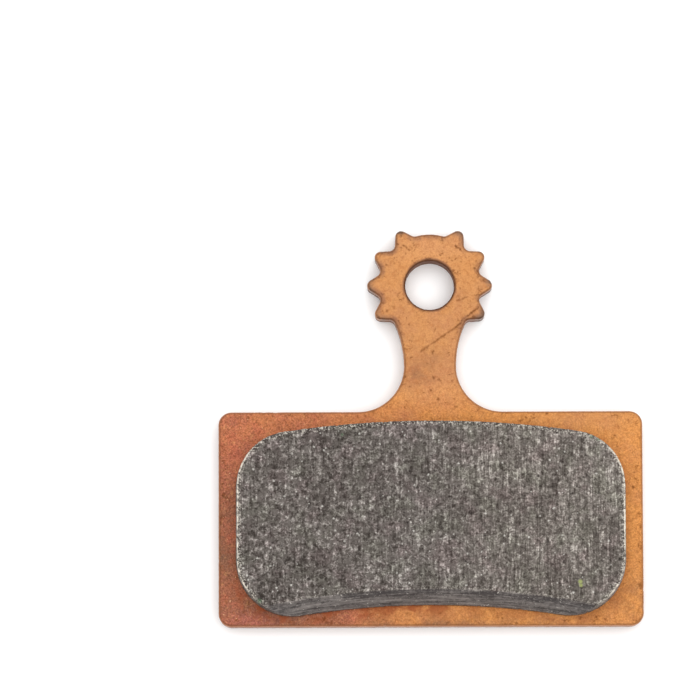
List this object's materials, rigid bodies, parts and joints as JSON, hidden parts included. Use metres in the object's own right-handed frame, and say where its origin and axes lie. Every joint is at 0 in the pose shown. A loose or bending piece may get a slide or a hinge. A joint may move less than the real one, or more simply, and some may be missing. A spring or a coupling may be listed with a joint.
{
  "type": "bicycle disc brake pad",
  "caption": "Flat disc brake pad: a copper-plated steel backing plate with a cog-toothed pin collar on a waisted neck, and a bevelled sintered friction lining bonded to its front.",
  "frame": {"origin": "on the axis of the pin bore, in the plane of the backing plate's back face", "axes": "+X across the pad, +Y from the lining to the collar, +Z along the pin bore and out of the friction face"},
  "size_m": [0.0294, 0.0275, 0.004],
  "materials": {
    "copper_plate": "satin copper plating, slightly heat-tinted",
    "sintered_lining": "matte, granular, ground flat"
  },
  "bodies": {
    "root": {"backing_plate": "copper_plate", "friction_lining": "sintered_lining"}
  },
  "joints": []
}
